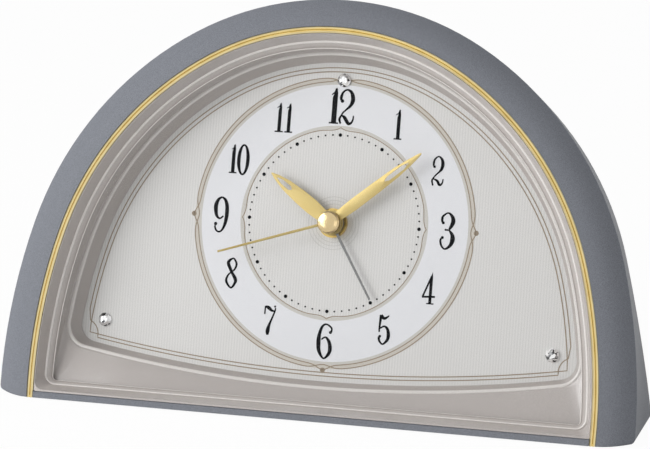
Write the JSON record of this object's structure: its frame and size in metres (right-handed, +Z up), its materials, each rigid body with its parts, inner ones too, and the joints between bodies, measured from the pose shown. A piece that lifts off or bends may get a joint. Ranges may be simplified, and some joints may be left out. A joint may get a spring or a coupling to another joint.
{
  "type": "shelf alarm clock",
  "caption": "Half-round beehive shelf alarm clock with a leaning case, gold trim, stepped bezel, flat lens, round chapter dial, hour, minute, second and alarm hands, and a quartz movement.",
  "frame": {"origin": "centre of the bounding box, on the table that the pads rest on", "axes": "+X to the right as the dial is read, -Y out of the dial towards the viewer, +Z up"},
  "size_m": [0.219, 0.0718, 0.1337],
  "materials": {
    "case_lacquer": "metallic blue-grey lacquer, satin gloss",
    "gold": "polished gold tone",
    "bezel_plastic": "pearl grey, satin",
    "lens_glass": "clear, polished",
    "dial_face": "printed pearl grey",
    "cut_stone": "faceted, foil backed",
    "dark_plastic": "fine grained",
    "movement_plastic": "moulded",
    "wheel_plastic": "natural acetal",
    "magnet": "sintered, bare",
    "winding": "enamelled copper wire",
    "board": "solder mask",
    "steel": "bright zinc",
    "cell_wrap": "plain printed sleeve",
    "alarm_hand_metal": "grey",
    "pad_rubber": "soft"
  },
  "bodies": {
    "clock": {"front_case": "case_lacquer", "gold_trim": "gold", "bezel": "bezel_plastic", "lens": "lens_glass", "dial_plate": "dial_face", "dial_stones": "cut_stone", "rear_cover": "dark_plastic", "foot_pads": "pad_rubber", "case_screws": "steel", "bezel_screws": "steel", "movement_base": "movement_plastic", "movement_back": "movement_plastic", "movement_screws": "steel", "dial_nut": "gold", "stator": "steel", "coil": "winding", "circuit_board": "board", "quartz_crystal": "steel", "battery": "cell_wrap", "battery_plus_contact": "steel", "battery_minus_contact": "steel", "alarm_switch_body": "dark_plastic", "sounder": "dark_plastic"},
    "minute_hand": {"minute_hand": "gold", "cannon_pinion": "wheel_plastic"},
    "hour_hand": {"hour_hand": "gold", "hour_wheel": "wheel_plastic"},
    "second_hand": {"second_hand": "gold", "second_wheel": "wheel_plastic", "hand_cap": "gold"},
    "alarm_hand": {"alarm_hand": "alarm_hand_metal", "alarm_wheel": "wheel_plastic"},
    "minute_wheel": {"minute_wheel": "wheel_plastic"},
    "centre_wheel": {"centre_wheel": "wheel_plastic"},
    "third_wheel": {"third_wheel": "wheel_plastic"},
    "fifth_wheel": {"fifth_wheel": "wheel_plastic"},
    "rotor": {"rotor": "magnet"},
    "time_setting": {"time_set_shaft": "wheel_plastic", "time_set_knob": "dark_plastic"},
    "alarm_setting": {"alarm_set_shaft": "wheel_plastic", "alarm_set_knob": "dark_plastic"},
    "battery_cover": {"battery_cover": "dark_plastic"},
    "alarm_switch": {"alarm_switch_slider": "dark_plastic"}
  },
  "joints": [
    {"name": "minute_hand_turn", "type": "hinge", "parent": "clock", "child": "minute_hand", "pos_m": [0, -0.00166, 0.05962], "axis": [0, -0.9641, 0.2656], "continuous": true},
    {"name": "hour_hand_turn", "type": "hinge", "parent": "clock", "child": "hour_hand", "pos_m": [0, -0.00166, 0.05962], "axis": [0, -0.9641, 0.2656], "continuous": true},
    {"name": "minute_wheel_turn", "type": "hinge", "parent": "clock", "child": "minute_wheel", "pos_m": [0.00789, -0.00242, 0.05685], "axis": [0, -0.9641, 0.2656], "continuous": true},
    {"name": "time_set_turn", "type": "hinge", "parent": "clock", "child": "time_setting", "pos_m": [0.01329, -0.00413, 0.05064], "axis": [0, -0.9641, 0.2656], "continuous": true},
    {"name": "second_hand_turn", "type": "hinge", "parent": "clock", "child": "second_hand", "pos_m": [0, -0.00166, 0.05962], "axis": [0, -0.9641, 0.2656], "continuous": true},
    {"name": "centre_wheel_turn", "type": "hinge", "parent": "clock", "child": "centre_wheel", "pos_m": [0, -0.00166, 0.05962], "axis": [0, -0.9641, 0.2656], "continuous": true},
    {"name": "third_wheel_turn", "type": "hinge", "parent": "clock", "child": "third_wheel", "pos_m": [-0.0051, 0.00069, 0.06813], "axis": [0, -0.9641, 0.2656], "continuous": true},
    {"name": "fifth_wheel_turn", "type": "hinge", "parent": "clock", "child": "fifth_wheel", "pos_m": [-0.00873, -0.003, 0.05476], "axis": [0, -0.9641, 0.2656], "continuous": true},
    {"name": "rotor_turn", "type": "hinge", "parent": "clock", "child": "rotor", "pos_m": [-0.01368, -0.00431, 0.04998], "axis": [0, -0.9641, 0.2656], "continuous": true},
    {"name": "alarm_hand_turn", "type": "hinge", "parent": "clock", "child": "alarm_hand", "pos_m": [0, -0.00166, 0.05962], "axis": [0, -0.9641, 0.2656], "continuous": true},
    {"name": "alarm_set_turn", "type": "hinge", "parent": "clock", "child": "alarm_setting", "pos_m": [0.00745, 0.00032, 0.0668], "axis": [0, -0.9641, 0.2656], "continuous": true},
    {"name": "battery_cover_tilt", "type": "hinge", "parent": "clock", "child": "battery_cover", "pos_m": [0, 0.00872, 0.02237], "axis": [-1, 0, 0], "range_deg": [0, 60]},
    {"name": "alarm_switch_slide", "type": "slide", "parent": "clock", "child": "alarm_switch", "axis": [0, 0.2656, 0.9641], "range_m": [0, 0.0035]}
  ],
  "couplings": [
    {"joint": "hour_hand_turn", "follows": "minute_hand_turn", "ratio": 0.083333},
    {"joint": "minute_wheel_turn", "follows": "minute_hand_turn", "ratio": -0.33333},
    {"joint": "time_set_turn", "follows": "minute_hand_turn", "ratio": 1},
    {"joint": "centre_wheel_turn", "follows": "second_hand_turn", "ratio": 0.016667},
    {"joint": "third_wheel_turn", "follows": "second_hand_turn", "ratio": -0.13333},
    {"joint": "fifth_wheel_turn", "follows": "second_hand_turn", "ratio": -5},
    {"joint": "rotor_turn", "follows": "second_hand_turn", "ratio": 30},
    {"joint": "alarm_set_turn", "follows": "alarm_hand_turn", "ratio": -1.8182}
  ]
}
